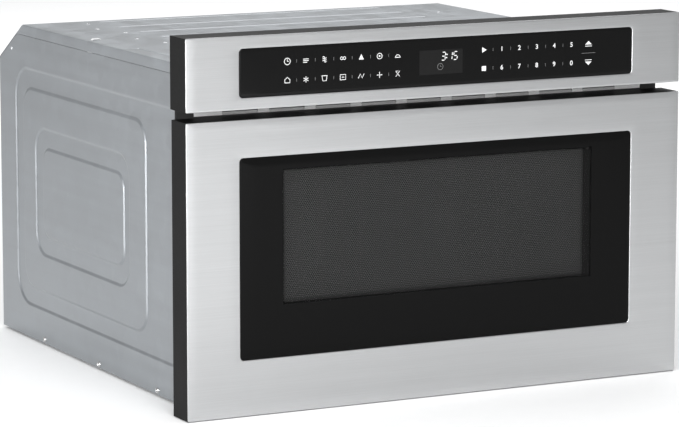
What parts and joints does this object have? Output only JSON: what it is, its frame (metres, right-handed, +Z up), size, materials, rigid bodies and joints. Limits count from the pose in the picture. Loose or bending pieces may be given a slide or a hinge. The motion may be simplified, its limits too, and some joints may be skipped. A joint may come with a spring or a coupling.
{
  "type": "built-in microwave drawer",
  "caption": "Built-in microwave drawer with a stainless front, a fixed touch panel above, pressed steel case and a geared drawer on telescopic rails.",
  "frame": {"origin": "on the shelf under the middle of the whole part, with the drawer shut", "axes": "+X to the right seen from the front, +Y to the rear, +Z up"},
  "size_m": [0.606, 0.5916, 0.4084],
  "materials": {
    "case_steel": "bare zinc-coated sheet, satin",
    "stainless": "brushed along the width",
    "black_paint": "satin black",
    "black_plastic": "fine grained",
    "black_glass": "polished, printed black on its back",
    "tray_glass": "glass-ceramic, milky",
    "screen_steel": "perforated and painted dark grey",
    "cavity_paint": "grey enamel",
    "zinc": "bright zinc",
    "fin_aluminium": "mill finish",
    "winding_copper": "varnished windings on a steel core",
    "board_green": "solder mask",
    "white_plastic": "satin",
    "mica": "pressed mica sheet"
  },
  "bodies": {
    "cabinet": {"base_pan": "case_steel", "left_side_panel": "case_steel", "right_side_panel": "case_steel", "top_cover": "case_steel", "rear_panel": "case_steel", "front_flange": "black_paint", "vent_strip": "zinc", "control_housing": "black_plastic", "control_trim": "stainless", "control_glass": "black_glass", "display_module": "black_plastic", "control_board": "board_green", "cavity_shell": "cavity_paint", "stirrer_cover": "mica", "stirrer_motor": "zinc", "waveguide": "zinc", "magnetron": "fin_aluminium", "hv_transformer": "winding_copper", "hv_capacitor": "zinc", "fan_shroud": "black_plastic", "fan_motor": "zinc", "line_filter_board": "board_green", "lamp_housing": "white_plastic", "cord_gland": "black_plastic", "left_rail_bracket": "case_steel", "right_rail_bracket": "case_steel", "left_outer_rail": "zinc", "right_outer_rail": "zinc", "left_shaft_bearing": "white_plastic", "right_shaft_bearing": "white_plastic", "motor_bracket": "case_steel", "drive_motor": "zinc", "interlock_bracket": "case_steel", "primary_switch": "black_plastic", "monitor_switch": "black_plastic"},
    "drawer": {"drawer_skin": "stainless", "drawer_frame": "black_plastic", "drawer_glass": "black_glass", "drawer_screen": "screen_steel", "choke_frame": "black_paint", "choke_cover": "black_plastic", "drawer_box": "cavity_paint", "glass_tray": "tray_glass", "latch_hook": "white_plastic", "left_inner_rail": "zinc", "right_inner_rail": "zinc", "left_rack": "white_plastic", "right_rack": "white_plastic"},
    "left_mid": {"left_mid_rail": "zinc"},
    "right_mid": {"right_mid_rail": "zinc"},
    "drive_shaft": {"cross_shaft": "zinc", "left_pinion": "white_plastic", "right_pinion": "white_plastic", "shaft_gear": "white_plastic"},
    "motor_gear_body": {"motor_gear": "white_plastic"},
    "fan": {"fan_wheel": "white_plastic"},
    "stirrer": {"stirrer_blade": "zinc"},
    "primary_key": {"primary_plunger": "white_plastic"},
    "monitor_key": {"monitor_plunger": "white_plastic"}
  },
  "joints": [
    {"name": "drawer_slide", "type": "slide", "parent": "cabinet", "child": "drawer", "axis": [0, -1, 0], "range_m": [0, 0.375]},
    {"name": "left_mid_slide", "type": "slide", "parent": "cabinet", "child": "left_mid", "axis": [0, -1, 0], "range_m": [0, 0.1876]},
    {"name": "right_mid_slide", "type": "slide", "parent": "cabinet", "child": "right_mid", "axis": [0, -1, 0], "range_m": [0, 0.1876]},
    {"name": "shaft_spin", "type": "hinge", "parent": "cabinet", "child": "drive_shaft", "pos_m": [0, -0.2218, 0.032], "axis": [1, 0, 0], "range_deg": [0, 1535.5]},
    {"name": "motor_spin", "type": "hinge", "parent": "cabinet", "child": "motor_gear_body", "pos_m": [0.045, -0.1888, 0.032], "axis": [1, 0, 0], "range_deg": [-4094, 0]},
    {"name": "fan_spin", "type": "hinge", "parent": "cabinet", "child": "fan", "pos_m": [0.145, 0.2312, 0.2628], "axis": [1, 0, 0], "continuous": true},
    {"name": "stirrer_spin", "type": "hinge", "parent": "cabinet", "child": "stirrer", "pos_m": [0, -0.0408, 0.297], "axis": [0, 0, 1], "continuous": true},
    {"name": "primary_press", "type": "slide", "parent": "cabinet", "child": "primary_key", "axis": [0, 1, 0], "range_m": [0, 0.002], "stiffness_N_per_m": 400, "springref_m": -0.0005},
    {"name": "monitor_press", "type": "slide", "parent": "cabinet", "child": "monitor_key", "axis": [0, 1, 0], "range_m": [0, 0.002], "stiffness_N_per_m": 400, "springref_m": -0.0005}
  ],
  "couplings": [
    {"joint": "left_mid_slide", "follows": "drawer_slide", "ratio": 0.5},
    {"joint": "right_mid_slide", "follows": "drawer_slide", "ratio": 0.5},
    {"joint": "shaft_spin", "follows": "drawer_slide", "rad_per_m": 71.429},
    {"joint": "motor_spin", "follows": "drawer_slide", "rad_per_m": -190.48}
  ]
}
